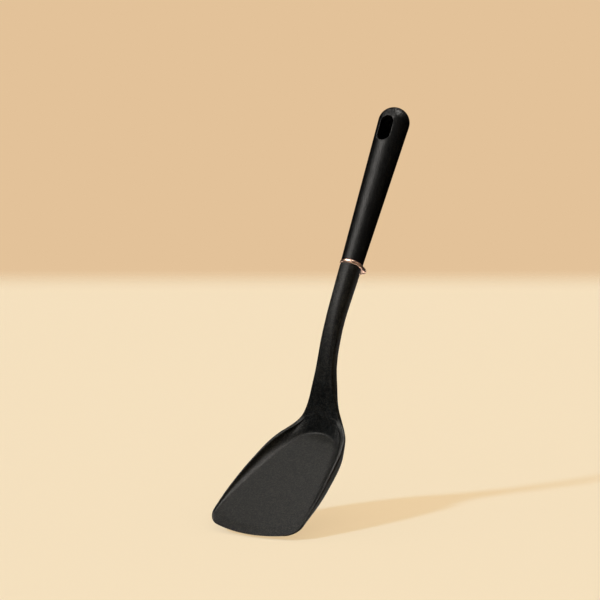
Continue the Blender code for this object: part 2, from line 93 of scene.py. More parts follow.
# Rest ring
RING_THICKNESS = 0.0022
RING_PROUD_AT_SIDES = 0.00025
RING_PROUD_IN_FRONT = 0.0007
REST_RADIUS = 0.0082
REST_SETBACK = 0.0072
RING_EDGE_ROUND = 0.0006
RING_EDGE_STEPS = 8
RING_ARC_STEPS = 96
SPIGOT_RADIUS = 0.0046

# Spine of the shaft and the blade, measured down from the ring
SHAFT_STRAIGHT = 0.0339
SWEEP_BACK = math.radians(25.2)
SWEEP_BACK_RADIUS = 0.1374
NECK_STRAIGHT = 0.0222
BLADE_TILT = math.radians(31.1)
HEEL_RADIUS = 0.0220
FLOOR_LENGTH = 0.1023

# Half widths of the head, and where along it they hold
SHAFT_TOP_HALF_WIDTH = 0.0081
SHAFT_UPPER_HALF_WIDTH = 0.0077
SHAFT_LOWER_HALF_WIDTH = 0.0072
NECK_HALF_WIDTH = 0.0089
HEEL_HALF_WIDTH = 0.0163
SHOULDER_HALF_WIDTH = 0.0252
REAR_HALF_WIDTH = 0.0312
MID_HALF_WIDTH = 0.03455
FORE_HALF_WIDTH = 0.03735
FRONT_HALF_WIDTH = 0.0376
FRONT_CORNER_RADIUS = 0.0088
FRONT_BOW = 0.0080
CORNER_DROOP = 0.0009
CORNER_DROOP_REACH = 0.0140
SHAFT_UPPER_STATION = 0.0160
NECK_LEAD = 0.0250
SHAFT_LOWER_SHARE = 0.46
SHOULDER_SHARE = 0.12
REAR_SHARE = 0.26
MID_SHARE = 0.45
FORE_SHARE = 0.72
BOW_START_SHARE = 0.3

# Heights of the rim and of the underside, from the spine
NECK_FRONT_RISE = 0.0049
NECK_BACK_RISE = 0.00388
HEEL_RIM_RISE = 0.0036
SHOULDER_RIM_RISE = 0.0062
MID_RIM_RISE = 0.0058
FORE_RIM_RISE = 0.0034
FRONT_RIM_RISE = 0.0005
FLOOR_THICKNESS = 0.0024
FRONT_EDGE_THICKNESS = 0.0010
BACK_LEAD = 0.0200
WALL_PEAK_SHARE = 0.15
MID_WALL_SHARE = 0.38
FORE_WALL_SHARE = 0.7
FLOOR_THINNED_SHARE = 0.25
EDGE_THINNING_SHARE = 0.6
CORNER_HEIGHT_SHARE = 0.15

# Rim width and wall angles
NECK_RIM_WIDTH = 0.0025
SHOULDER_RIM_WIDTH = 0.0045
MID_RIM_WIDTH = 0.0020
FRONT_RIM_WIDTH = 0.0013
RIM_LEAD = 0.0400
MID_RIM_SHARE = 0.4
INNER_DRAFT = math.radians(14)
SHOULDER_FLARE = math.radians(22)
SIDE_FLARE = math.radians(2)
FLARE_LEAD = 0.0300
FLARE_START_SHARE = 0.1

# Bevelled lip along the front edge, from a slight crown of the floor behind it
LIP_WIDTH = 0.0078
LIP_CROWN = 0.0005
LIP_SLOPE = math.radians(9.0)
LIP_SOFTNESS = 0.0002

# Fillets of the dish, and the ramp from the neck down to its floor
DISH_FILLET = 0.0072
UNDER_FILLET = 0.0011
FLOOR_PROBE_SHARE = 0.8
FILLET_WALL_SHARE = 0.9
INNER_ROUND_SHARE = 0.25
OUTER_ROUND_SHARE = 0.7
INNER_EDGE_SHARE = 0.1
OUTER_EDGE_SHARE = 0.42
OUTER_BULGE_SHARE = 0.25
UNDER_EDGE_SHARE = 0.6
RAMP_START_RISE = 0.0034
RAMP_FALL = math.radians(7)
RAMP_END_RADIUS = 0.0135
RAMP_END_ONSET = 0.0150
RAMP_SOFTNESS = 0.0013
STEEPEST_RAMP = math.radians(65)

# The shaft's rounded section
SECTION_SQUARENESS = 2.15
SECTION_RUNS_DEG = ((90, 60), (60, 48), (46, 38), (34, 24), (-25, -55), (-55, -90))
ROUND_UNTIL = 0.0820
FLAT_FROM = 0.0030
SHAFT_DEPTH_SHARE = 0.9
SHOULDER_ROUND = 0.0006
SHOULDER_STEPS = 6

# Mesh density of the head
FLOOR_POINTS = 26
FILLET_POINTS = 12
RIM_POINTS = 9
SHAFT_ROWS = 70
HEEL_ROWS = 130
BLADE_ROWS = 50
CORNER_ROWS = 22
HEEL_ROWS_LEAD = 0.0300
HEEL_ROWS_TAIL = 0.0200

SMOOTH_ANGLE = math.radians(40)

# Camera: where it stands and how it is turned, from the view of the photograph
FIELD_OF_VIEW = math.radians(18)
CAMERA_TURN = math.radians(33.007)
CAMERA_TILT = math.radians(107.714)
CAMERA_ROLL = math.radians(17.031)
CAMERA_DISTANCE = 1.4114
AIM_BELOW_ORIGIN = 0.1122
AIM_RIGHT_OF_AXIS = 0.03775
AIM_ABOVE_AXIS = 0.02433

# Stage: floor, backdrop and a dark tent, with directions as right, up and near in the picture
FLOOR_PITCH = math.radians(5.655)
FLOOR_CLEARANCE = 0.0020
FLOOR_REACH = 6.0
FLOOR_FADE_START = 1.81
FLOOR_FADE_END = 2.30
FLOOR_CREAM = (0.9131, 0.7529, 0.5149)
FLOOR_ROUGHNESS = 0.9
BACKDROP_TAN = (0.7681, 0.5395, 0.3186)
TENT_RADIUS = 0.45
TENT_SIDES = 48
TENT_BLACK = (0.002, 0.002, 0.002)
TENT_ROUGHNESS = 1.0

# Even light, key and sky
AMBIENT_LIGHT = (0.22, 0.20, 0.18)
SKY_STRENGTH = 2.24
SKY_COLOUR = (1.0, 0.90, 0.77)
KEY_HEIGHT = math.radians(32.515)
KEY_TURN = math.radians(28.447)
KEY_SPREAD = math.radians(6)
KEY_STRENGTH = 1.6
KEY_COLOUR = (0.25, 0.56, 1.0)
SOFT_WHITE = (1.0, 0.96, 0.9)

# Soft boxes that only gloss shows: name, direction in the picture, spread and strength
STRIP_TOWARDS = (-0.559, 0.681, 0.473)
STRIP_SPREAD = math.radians(36)
SOFT_BOXES = (
    ("strip", STRIP_TOWARDS, STRIP_SPREAD, 1.0),
    ("strip_on_handle", STRIP_TOWARDS, STRIP_SPREAD, 0.6),
    ("top_left", (-0.11, 0.978, -0.175), math.radians(22), 0.4),
    ("top_right", (0.356, 0.933, -0.05), math.radians(22), 1.3),
    ("side", (-0.80, 0.55, -0.20), math.radians(40), 0.22),
    ("edge", (0.60, -0.42, -0.68), math.radians(24), 0.45),
)

# Cards that light the ring alone: name, direction in the picture, spread, strength and colour
METAL_CARDS = (
    ("card_front", (-0.52, 0.68, 0.52), math.radians(75), 1.1, (1.0, 1.0, 1.0)),
    ("card_under", (-0.17, -0.55, -0.815), math.radians(110), 1.3, (1.0, 0.94, 0.85)),
    ("card_side", (0.85, 0.15, 0.4), math.radians(80), 0.35, (1.0, 0.85, 0.7)),
)

# Black nylon: pale flecks of filler on a dark ground, a moulded grain, and slow clouds in its sheen
HEAD_DARK = (0.0030, 0.0027, 0.0020)
HEAD_PALE = (0.0320, 0.0280, 0.0210)
HEAD_FLECK = 0.0007
HEAD_GRAIN = 0.0010
HEAD_GRAIN_DEPTH = 0.000045
HANDLE_DARK = (0.0, 0.0, 0.0)
HANDLE_PALE = (0.0090, 0.0080, 0.0066)
HANDLE_FLECK = 0.0008
HANDLE_GRAIN = 0.0012
HANDLE_GRAIN_DEPTH = 0.00011
FLECK_BARE_SHARE = 0.4
NYLON_SHEEN_LOW = 0.36
NYLON_SHEEN_HIGH = 0.48
NYLON_CLOUD = 0.018
NYLON_CLOUD_SHARE = 0.5
NOISE_LOW = 0.3
NOISE_HIGH = 0.7
GRAIN_DETAIL = 3.0
GRAIN_ROUGHNESS = 0.65

# Glass-filled nylon of the hidden core: grey fibres in a dark ground
CORE_DARK = (0.012, 0.012, 0.012)
CORE_PALE = (0.050, 0.049, 0.046)
CORE_FIBRE = 0.0012
CORE_FIBRE_STRETCH = 6.0
CORE_ROUGHNESS = 0.6
CORE_DEPTH = 0.000020

# Rose metal: brushed round its edge, with a faint change of tint
ROSE_LIGHT = (0.88, 0.58, 0.45)
ROSE_DEEP = (0.78, 0.46, 0.33)
ROSE_METALLIC = 1.0
BRUSH_LENGTH = 0.0060
BRUSH_WIDTH = 0.00012
BRUSH_DEPTH = 0.0000015
METAL_SHEEN_LOW = 0.24
METAL_SHEEN_HIGH = 0.36
TINT_CLOUD = 0.0050

RING_Z = -HOLE_TO_RING
SEAT = RING_THICKNESS / 2 + GAP
HANDLE_FOOT_Z = RING_Z + SEAT
DOME_CENTRE_Z = HOLE_TO_TOP - HANDLE_TOP_RADIUS
BEND_ANGLE = SWEEP_BACK + BLADE_TILT
SWEEP_LENGTH = SWEEP_BACK * SWEEP_BACK_RADIUS
HEEL_LENGTH = BEND_ANGLE * HEEL_RADIUS
HEEL_START = SHAFT_STRAIGHT + SWEEP_LENGTH + NECK_STRAIGHT
BLADE_LENGTH = HEEL_LENGTH + FLOOR_LENGTH
FRONT_STATION = HEEL_START + BLADE_LENGTH


def new_mesh(name, shape):
    bmesh.ops.recalc_face_normals(shape, faces=shape.faces)
    mesh = bpy.data.meshes.new(name)
    shape.to_mesh(mesh)
    shape.free()
    mesh.shade_smooth()
    mesh.set_sharp_from_angle(angle=SMOOTH_ANGLE)
    return mesh


def new_object(mesh, material=None):
    piece = bpy.data.objects.new(mesh.name, mesh)
    bpy.context.scene.collection.objects.link(piece)
    if material:
        mesh.materials.append(material)
    return piece


def dress(piece, node):
    """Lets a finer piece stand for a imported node."""
    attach(piece, "root")
    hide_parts(node)


def cut(piece, cutters):
    """Cuts a piece by other solids, and applies the cuts."""
    for cutter in cutters:
        boolean = piece.modifiers.new(cutter.name, "BOOLEAN")
        boolean.operation = "DIFFERENCE"
        boolean.object = cutter
        boolean.solver = "EXACT"
    shown = piece.evaluated_get(bpy.context.evaluated_depsgraph_get())
    result = bpy.data.meshes.new_from_object(shown)
    piece.modifiers.clear()
    piece.data = result
    for cutter in cutters:
        bpy.data.objects.remove(cutter, do_unlink=True)
    result.shade_smooth()
    result.set_sharp_from_angle(angle=SMOOTH_ANGLE)


def skin(shape, loops):
    """Adds faces between closed loops of points, and gives the loops' vertices."""
    rows = [[shape.verts.new(point) for point in loop] for loop in loops]
    for row, following in zip(rows, rows[1:]):
        count = len(row)
        for i in range(count):
            after = (i + 1) % count
            shape.faces.new((row[i], row[after], following[after], following[i]))
    return rows


def loft(name, loops):
    """A closed solid through loops of points, with flat ends."""
    shape = bmesh.new()
    rows = skin(shape, loops)
    shape.faces.new(rows[0])
    shape.faces.new(rows[-1])
    return new_mesh(name, shape)


def quarter_arc(radius, steps):
    """(inward, along) offsets of a quarter round, from its flat side to its outer side."""
    angles = [math.pi / 2 * step / steps for step in range(steps + 1)]
    return [(radius * (1 - math.sin(angle)), radius * (1 - math.cos(angle))) for angle in angles]


def ease(share):
    share = min(max(share, 0), 1)
    return share * share * (3 - 2 * share)


def blend(start, end, share):
    return start + (end - start) * share


def smooth_through(points, place):
    """Value at a place on a smooth curve through (place, value) points."""
    places = [point[0] for point in points]
    values = [point[1] for point in points]
    place = min(max(place, places[0]), places[-1])
    steps = np.diff(places)
    slopes = np.diff(values) / steps
    inner = (slopes[:-1] * steps[1:] + slopes[1:] * steps[:-1]) / (steps[1:] + steps[:-1])
    tangents = np.concatenate([slopes[:1], inner, slopes[-1:]])
    i = min(int(np.searchsorted(places, place, side="right")) - 1, len(steps) - 1)
    t = (place - places[i]) / steps[i]
    leaving = (1 + 2 * t) * values[i] + t * steps[i] * tangents[i]
    arriving = (3 - 2 * t) * values[i + 1] - (1 - t) * steps[i] * tangents[i + 1]
    return leaving * (1 - t) ** 2 + arriving * t**2


def rounded(start, corner, end, count):
    """Points of a curve from start to end that a corner point pulls."""
    t = np.linspace(0, 1, count)[:, None]
    return (1 - t) ** 2 * start + 2 * t * (1 - t) * corner + t**2 * end


def spine_point(station):
    """Y, Z and turn of the spine at a distance below the ring, along straights and arcs."""
    runs = (
        (SHAFT_STRAIGHT, 0),
        (SWEEP_LENGTH, SWEEP_BACK),
        (NECK_STRAIGHT, 0),
        (HEEL_LENGTH, -BEND_ANGLE),
        (FLOOR_LENGTH, 0),
    )
    y, z, turn = 0, RING_Z, 0
    left = station
    for length, bend in runs:
        run = min(left, length)
        if bend:
            curvature = bend / length
            after = turn + curvature * run
            y += (math.cos(turn) - math.cos(after)) / curvature
            z -= (math.sin(after) - math.sin(turn)) / curvature
            turn = after
        else:
            y += run * math.sin(turn)
            z -= run * math.cos(turn)
        left -= run
    return y, z, turn


def on_blade(share):
    """Distance below the ring of a share of the blade, from the heel's start to the front edge."""
    return HEEL_START + share * BLADE_LENGTH


def half_width(station):
    places = (
        (0, SHAFT_TOP_HALF_WIDTH),
        (SHAFT_UPPER_STATION, SHAFT_UPPER_HALF_WIDTH),
        (SHAFT_LOWER_SHARE * HEEL_START, SHAFT_LOWER_HALF_WIDTH),
        (HEEL_START - NECK_LEAD, NECK_HALF_WIDTH),
        (HEEL_START, HEEL_HALF_WIDTH),
        (on_blade(SHOULDER_SHARE), SHOULDER_HALF_WIDTH),
        (on_blade(REAR_SHARE), REAR_HALF_WIDTH),
        (on_blade(MID_SHARE), MID_HALF_WIDTH),
        (on_blade(FORE_SHARE), FORE_HALF_WIDTH),
        (FRONT_STATION, FRONT_HALF_WIDTH),
    )
    return smooth_through(places, station)


def rim_rise(station):
    places = (
        (HEEL_START - NECK_LEAD, NECK_FRONT_RISE),
        (HEEL_START, HEEL_RIM_RISE),
        (on_blade(WALL_PEAK_SHARE), SHOULDER_RIM_RISE),
        (on_blade(MID_WALL_SHARE), MID_RIM_RISE),
        (on_blade(FORE_WALL_SHARE), FORE_RIM_RISE),
        (FRONT_STATION, FRONT_RIM_RISE),
    )
    return smooth_through(places, station)


def under_rise(station):
    places = (
        (HEEL_START - BACK_LEAD, NECK_BACK_RISE),
        (on_blade(FLOOR_THINNED_SHARE), FLOOR_THICKNESS),
    )
    thinning = on_blade(EDGE_THINNING_SHARE)
    to_edge = ease((station - thinning) / (FRONT_STATION - thinning))
    return blend(smooth_through(places, station), FRONT_EDGE_THICKNESS, to_edge)


def rim_width(station):
    places = (
        (HEEL_START - RIM_LEAD, NECK_RIM_WIDTH),
        (on_blade(SHOULDER_SHARE), SHOULDER_RIM_WIDTH),
        (on_blade(MID_RIM_SHARE), MID_RIM_WIDTH),
        (FRONT_STATION, FRONT_RIM_WIDTH),
    )
    return smooth_through(places, station)


def wall_flare(station):
    """How far the wall leans out: more at the shoulder than along the sides."""
    start = on_blade(FLARE_START_SHARE)
    along = ease((station - start) / (on_blade(MID_SHARE) - start))
    onset = ease((station - HEEL_START + FLARE_LEAD) / FLARE_LEAD)
    return blend(SHOULDER_FLARE, SIDE_FLARE, along) * onset


def floor_rise(station, across):
    """Height of the open side above the spine: the neck's front runs straight on to a flat floor."""
    onset = ease((station - HEEL_START + RAMP_END_ONSET) / RAMP_END_ONSET)
    past = station - HEEL_START - np.square(across) / (2 * RAMP_END_RADIUS) * onset
    turned_by = np.clip(past / HEEL_RADIUS, 0, STEEPEST_RAMP) + RAMP_FALL
    nearest = (HEEL_RADIUS - RAMP_START_RISE) * math.cos(RAMP_FALL)
    ramp = HEEL_RADIUS - nearest / np.cos(turned_by) - np.minimum(past, 0) * math.tan(RAMP_FALL)
    ramp = ramp - np.maximum(past - STEEPEST_RAMP * HEEL_RADIUS, 0)
    to_floor = min(max(BEND_ANGLE - (station - HEEL_START) / HEEL_RADIUS, 0), STEEPEST_RAMP)
    floor = HEEL_RADIUS - HEEL_RADIUS / math.cos(to_floor) + lip_rise(station)
    return (ramp + floor + np.sqrt((ramp - floor) ** 2 + RAMP_SOFTNESS**2)) / 2


def lip_rise(station):
    """How far the floor lies above its plane: a slight crown, then the bevel of the front lip."""
    lip_start = FRONT_STATION - LIP_WIDTH
    crown_start = on_blade(BOW_START_SHARE)
    crown = LIP_CROWN * ease((station - crown_start) / (lip_start - crown_start))
    past = station - lip_start
    return crown - (past + math.sqrt(past**2 + LIP_SOFTNESS**2)) / 2 * math.tan(LIP_SLOPE)


def into_corner(station):
    """How far round the front corner a section lies: the share of the corner's radius left across."""
    past = max(station - FRONT_STATION + FRONT_CORNER_RADIUS, 0) / FRONT_CORNER_RADIUS
    return math.sqrt(max(1 - past**2, 0))


def dish_inside(station, width, rise, rim):
    """Points from the middle of the floor, up the wall and round the rim's inner edge."""
    floor = min(float(floor_rise(station, FLOOR_PROBE_SHARE * width)), rise - GAP)
    inner_top = np.array([width - rim, rise])
    foot = np.array([width - rim - (rise - floor) * math.tan(INNER_DRAFT), floor])
    wall_height = np.linalg.norm(inner_top - foot)
    up = (inner_top - foot) / wall_height
    fillet = min(DISH_FILLET, wall_height, FLOOR_PROBE_SHARE * foot[0])
    across = np.linspace(0, foot[0] - fillet, FLOOR_POINTS + 1)
    floor_points = np.stack([across, np.minimum(floor_rise(station, across), rise)], axis=1)
    wall_points = rounded(floor_points[-1], foot, foot + up * fillet * FILLET_WALL_SHARE, FILLET_POINTS)
    inner_round = INNER_ROUND_SHARE * rim
    inner_start = inner_top - up * min(inner_round, INNER_EDGE_SHARE * wall_height)
    inner_edge = rounded(inner_start, inner_top, inner_top + [inner_round, 0], RIM_POINTS)
    return [floor_points[:-1], wall_points, inner_edge]


def dish_outside(station, width, rise, rim):
    """Points round the rim's bulged outer edge, down the outer side and in along the underside."""
    under = under_rise(station)
    outer_top = np.array([width, rise])
    heel = np.array([width - (rise + under) * math.tan(wall_flare(station)), -under])
    side_height = np.linalg.norm(heel - outer_top)
    down = (heel - outer_top) / side_height
    outer_start = outer_top - [OUTER_ROUND_SHARE * rim, 0]
    outer_end = outer_top + down * OUTER_EDGE_SHARE * side_height
    bulge = (outer_top - (outer_start + outer_end) / 2) * OUTER_BULGE_SHARE
    outer_edge = rounded(outer_start, outer_top + bulge, outer_end, RIM_POINTS)
    under_round = min(UNDER_FILLET, UNDER_EDGE_SHARE * side_height)
    under_edge = rounded(heel - down * under_round, heel, heel - [under_round, 0], FILLET_POINTS)
    underside = np.linspace(under_edge[-1], [0, -under], FLOOR_POINTS + 1)[1:]
    return [outer_edge, under_edge, underside]


def dish_section(station, width):
    """Right half of a section through the dish: floor, wall, rim, outer side and underside."""
    rise = rim_rise(station) * max(into_corner(station), CORNER_HEIGHT_SHARE)
    rim = rim_width(station)
    inside = dish_inside(station, width, rise, rim)
    outside = dish_outside(station, width, rise, rim)
    return np.concatenate(inside + outside)


def shaft_section(station, width):
    """Right half of the shaft's rounded section, with its points spread as in the dish's section."""
    neck_depth = (NECK_FRONT_RISE + NECK_BACK_RISE) / 2
    depth = blend(SHAFT_TOP_HALF_WIDTH, neck_depth, ease(station / (SHAFT_DEPTH_SHARE * HEEL_START)))
    counts = (FLOOR_POINTS + 1, FILLET_POINTS, RIM_POINTS, RIM_POINTS, FILLET_POINTS, FLOOR_POINTS + 1)
    runs = [np.linspace(*ends, count) for ends, count in zip(SECTION_RUNS_DEG, counts)]
    angles = np.radians(np.concatenate([runs[0][:-1], *runs[1:-1], runs[-1][1:]]))
    power = 2 / SECTION_SQUARENESS
    across = width * np.abs(np.cos(angles)) ** power
    rise = depth * np.sign(np.sin(angles)) * np.abs(np.sin(angles)) ** power
    return np.stack([across, rise], axis=1)


def head_section(station):
    width = half_width(station) - FRONT_CORNER_RADIUS * (1 - into_corner(station))
    section = shaft_section(station, width)
    flatness = ease((station - HEEL_START + ROUND_UNTIL) / (ROUND_UNTIL - FLAT_FROM))
    if flatness > 0:
        section = blend(section, dish_section(station, width), flatness)
    return section


def placed(station, section):
    """A closed loop in space from the right half of a section, set on the spine and bowed in front."""
    width = half_width(station)
    bow_start = on_blade(BOW_START_SHARE)
    bow = FRONT_BOW * ease((station - bow_start) / (FRONT_STATION - bow_start))
    droop = CORNER_DROOP * ease((station - FRONT_STATION + CORNER_DROOP_REACH) / CORNER_DROOP_REACH)
    right = []
    for across, rise in section:
        share = across / width
        y, z, turn = spine_point(station - bow * share**2)
        rise -= droop * share**4
        right.append((float(across), y - rise * math.cos(turn), z - rise * math.sin(turn)))
    left = [(-x, y, z) for x, y, z in reversed(right[1:-1])]
    return right + left


def head_loops():
    """Sections from the seat under the ring to the front edge, closer at the heel and the corners."""
    heel_from = HEEL_START - HEEL_ROWS_LEAD
    heel_to = HEEL_START + HEEL_LENGTH + HEEL_ROWS_TAIL
    corner_from = FRONT_STATION - FRONT_CORNER_RADIUS
    corner = np.sin(np.linspace(0, math.pi / 2, CORNER_ROWS)) * FRONT_CORNER_RADIUS
    runs = (
        np.linspace(SEAT + SHOULDER_ROUND, heel_from, SHAFT_ROWS, endpoint=False),
        np.linspace(heel_from, heel_to, HEEL_ROWS, endpoint=False),
        np.linspace(heel_to, corner_from, BLADE_ROWS, endpoint=False),
        corner_from + corner,
    )
    loops = []
    for inward, along in quarter_arc(SHOULDER_ROUND, SHOULDER_STEPS)[:-1]:
        station = SEAT + along
        loops.append(placed(station, head_section(station) * (1 - inward / SHAFT_TOP_HALF_WIDTH)))
    for station in np.concatenate(runs):
        loops.append(placed(station, head_section(station)))
    return loops


def make_head(material):
    """Shaft, neck and dish, with a front edge closed by a strip of faces."""
    shape = bmesh.new()
    rows = skin(shape, head_loops())
    shape.faces.new(rows[0])
    front = rows[-1]
    half = len(front) // 2
    for side in (front[: half + 1], [front[0], *reversed(front[half:])]):
        for i in range(half // 2):
            shape.faces.new((side[i], side[i + 1], side[half - i - 1], side[half - i]))
    head = new_object(new_mesh("nylon_head", shape), material)
    dress(head, "turner_head")
    return head


def ring_outline():
    """An oval that follows the handle, joined by straight flanks to the round rest behind it."""
    side = HANDLE_FOOT_RADIUS + RING_PROUD_AT_SIDES
    front = HANDLE_FOOT_RADIUS + RING_PROUD_IN_FRONT
    flank = math.acos((side - REST_RADIUS) / REST_SETBACK)
    rest = np.linspace(-flank, flank, RING_ARC_STEPS)
    oval = np.linspace(flank, 2 * math.pi - flank, RING_ARC_STEPS)
    outline = [(REST_RADIUS * math.sin(a), REST_SETBACK + REST_RADIUS * math.cos(a)) for a in rest]
    return outline + [(side * math.sin(a), front * math.cos(a)) for a in oval]


def make_ring(material):
    heights = (RING_Z - RING_THICKNESS / 2, RING_Z + RING_THICKNESS / 2)
    plate = loft("rose_metal_ring", [[(x, y, z) for x, y in ring_outline()] for z in heights])
    ring = new_object(plate, material)
    edges = ring.modifiers.new("Rounded edges", "BEVEL")
    edges.width = RING_EDGE_ROUND
    edges.segments = RING_EDGE_STEPS
    edges.limit_method = "ANGLE"
    edges.angle_limit = SMOOTH_ANGLE
    shape = bmesh.new()
    bmesh.ops.create_cone(
        shape,
        cap_ends=True,
        segments=RING_ARC_STEPS,
        radius1=SPIGOT_RADIUS + GAP,
        radius2=SPIGOT_RADIUS + GAP,
        depth=2 * OVERRUN,
        matrix=Matrix.Translation((0, 0, RING_Z)),
    )
    cut(ring, [new_object(new_mesh("ring_bore", shape))])
    dress(ring, "rest_ring")
    return ring


def handle_radius(height):
    """Radius of the handle's round outside at a height: a taper that ends in a dome."""
    if height > DOME_CENTRE_Z:
        return math.sqrt(max(HANDLE_TOP_RADIUS**2 - (height - DOME_CENTRE_Z) ** 2, 0))
    up_the_taper = (height - HANDLE_FOOT_Z) / (DOME_CENTRE_Z - HANDLE_FOOT_Z)
    return blend(HANDLE_FOOT_RADIUS, HANDLE_TOP_RADIUS, up_the_taper)


def face_distance(height):
    """How far in front of the axis the flat face lies, which leans back and bends away upwards."""
    bent = max(height - FACE_BEND_START, 0)
    return FACE_DEPTH - height * math.tan(FACE_LEAN) - bent**2 / (2 * FACE_BEND_RADIUS)


def front_face(x, height):
    """Y of the handle's front at a place: the round outside or the flat face that cuts it."""
    round_outside = math.sqrt(max(handle_radius(height) ** 2 - x**2, 0))
    return -min(round_outside, face_distance(height))


def handle_loop(radius, height):
    """Outline of the handle at a height, where the front face cuts the round with a soft crease."""
    limit = face_distance(height)
    loop = []
    for side in range(HANDLE_SIDES):
        angle = 2 * math.pi * side / HANDLE_SIDES
        x = radius * math.sin(angle)
        y = -radius * math.cos(angle)
        over = -y - limit
        pushed = (over + math.sqrt(over**2 + FACE_CREASE_SOFTNESS**2)) / 2
        loop.append((x, y + pushed, height))
    return loop


def slot_outline(half):
    """Across and height of the points round the hang hole, with straight sides and round ends."""
    reach = (HOLE_LENGTH - HOLE_WIDTH) / 2
    sides = np.linspace(reach, -reach, HOLE_SIDE_STEPS + 1)[1:-1]
    outline = []
    for end in (1, -1):
        for step in range(HOLE_END_STEPS + 1):
            angle = math.pi * step / HOLE_END_STEPS
            outline.append((end * half * math.cos(angle), end * (reach + half * math.sin(angle))))
        outline += [(-end * half, end * float(height)) for height in sides]
    return outline


def hole_cutter():
    """The hang hole, whose front edge is rounded all round by a lip that follows the outside."""
    half = HOLE_WIDTH / 2
    past = HANDLE_TOP_RADIUS + OVERRUN
    loops = [[(x, -past, z) for x, z in slot_outline(half + HOLE_LIP)]]
    for wider, depth in quarter_arc(HOLE_LIP, LIP_STEPS):
        loops.append([(x, front_face(x, z) + depth, z) for x, z in slot_outline(half + wider)])
    loops.append([(x, past, z) for x, z in slot_outline(half)])
    return new_object(loft("hang_hole", loops))


def handle_loops():
    """Outlines of the handle from its rounded foot, up the taper and the flat face, to the dome."""
    loops = []
    for inward, up in quarter_arc(HANDLE_FOOT_ROUND, LIP_STEPS):
        loops.append(handle_loop(HANDLE_FOOT_RADIUS - inward, HANDLE_FOOT_Z + up))
    taper_rows = np.linspace(HANDLE_FOOT_Z + HANDLE_FOOT_ROUND, -FACE_ROWS_REACH, HANDLE_ROWS)
    face_rows = np.linspace(-FACE_ROWS_REACH, DOME_CENTRE_Z, FACE_ROWS)
    for height in [*taper_rows[1:], *face_rows[1:]]:
        loops.append(handle_loop(handle_radius(height), float(height)))
    for step in range(1, DOME_ROWS):
        height = DOME_CENTRE_Z + HANDLE_TOP_RADIUS * math.sin(math.pi / 2 * step / DOME_ROWS)
        loops.append(handle_loop(handle_radius(height), height))
    return loops


def make_handle(material):
    handle = new_object(loft("nylon_handle", handle_loops()), material)
    cut(handle, [hole_cutter()])
    dress(handle, "handle_grip")
    return handle


def add_node(tree, kind, **settings):
    """A shader node with its settings, given by attribute name."""
    node = tree.nodes.new(kind)
    for name, value in settings.items():
        setattr(node, name, value)
    return node


def new_material(name, colour, roughness, metallic=0.0):
    material = bpy.data.materials.new(name)
    material.use_nodes = True
    shader = material.node_tree.nodes["Principled BSDF"]
    shader.inputs["Base Color"].default_value = (*colour, 1)
    shader.inputs["Roughness"].default_value = roughness
    shader.inputs["Metallic"].default_value = metallic
    return material


def add_range(tree, value, source, target):
    """A value carried over from one range to another, and held inside it."""
    carried = add_node(tree, "ShaderNodeMapRange")
    carried.inputs["From Min"].default_value, carried.inputs["From Max"].default_value = source
    carried.inputs["To Min"].default_value, carried.inputs["To Max"].default_value = target
    tree.links.new(value, carried.inputs["Value"])
    return carried.outputs["Result"]


def add_noise(tree, size, stretch=(1, 1, 1)):
    """Noise of a feature size, in the piece's own metres, drawn out along its axes."""
    place = add_node(tree, "ShaderNodeTexCoord")
    drawn = add_node(tree, "ShaderNodeMapping")
    drawn.inputs["Scale"].default_value = [1 / share for share in stretch]
    tree.links.new(place.outputs["Object"], drawn.inputs["Vector"])
    noise = add_node(tree, "ShaderNodeTexNoise")
    noise.inputs["Scale"].default_value = 1 / size
    noise.inputs["Detail"].default_value = GRAIN_DETAIL
    noise.inputs["Roughness"].default_value = GRAIN_ROUGHNESS
    tree.links.new(drawn.outputs["Vector"], noise.inputs["Vector"])
    return add_range(tree, noise.outputs["Fac"], (NOISE_LOW, NOISE_HIGH), (0, 1))


def add_flecks(tree, size):
    """A mask of small grains, each of its own strength, on a bare share of the surface."""
    place = add_node(tree, "ShaderNodeTexCoord")
    grains = add_node(tree, "ShaderNodeTexVoronoi")
    grains.inputs["Scale"].default_value = 1 / size
    tree.links.new(place.outputs["Object"], grains.inputs["Vector"])
    channels = add_node(tree, "ShaderNodeSeparateColor")
    tree.links.new(grains.outputs["Color"], channels.inputs["Color"])
    return add_range(tree, channels.outputs["Red"], (FLECK_BARE_SHARE, 1), (0, 1))


def add_tint(tree, mask, low, high):
    """The shader's colour, between two tones by a mask."""
    tint = add_node(tree, "ShaderNodeMix", data_type="RGBA")
    tint.inputs["A"].default_value = (*low, 1)
    tint.inputs["B"].default_value = (*high, 1)
    tree.links.new(mask, tint.inputs["Factor"])
    tree.links.new(tint.outputs["Result"], tree.nodes["Principled BSDF"].inputs["Base Color"])


def add_sheen(tree, mask, low, high):
    """The shader's roughness, between two values by a mask."""
    roughness = add_range(tree, mask, (0, 1), (low, high))
    tree.links.new(roughness, tree.nodes["Principled BSDF"].inputs["Roughness"])


def add_relief(tree, mask, depth):
    """A bump of the shader, as deep as the mask's whole range."""
    bump = add_node(tree, "ShaderNodeBump")
    bump.inputs["Strength"].default_value = 1
    bump.inputs["Distance"].default_value = depth
    tree.links.new(mask, bump.inputs["Height"])
    tree.links.new(bump.outputs["Normal"], tree.nodes["Principled BSDF"].inputs["Normal"])


def mix_masks(tree, first, second, share):
    mixed = add_node(tree, "ShaderNodeMix")
    mixed.inputs["Factor"].default_value = share
    tree.links.new(first, mixed.inputs["A"])
    tree.links.new(second, mixed.inputs["B"])
    return mixed.outputs["Result"]


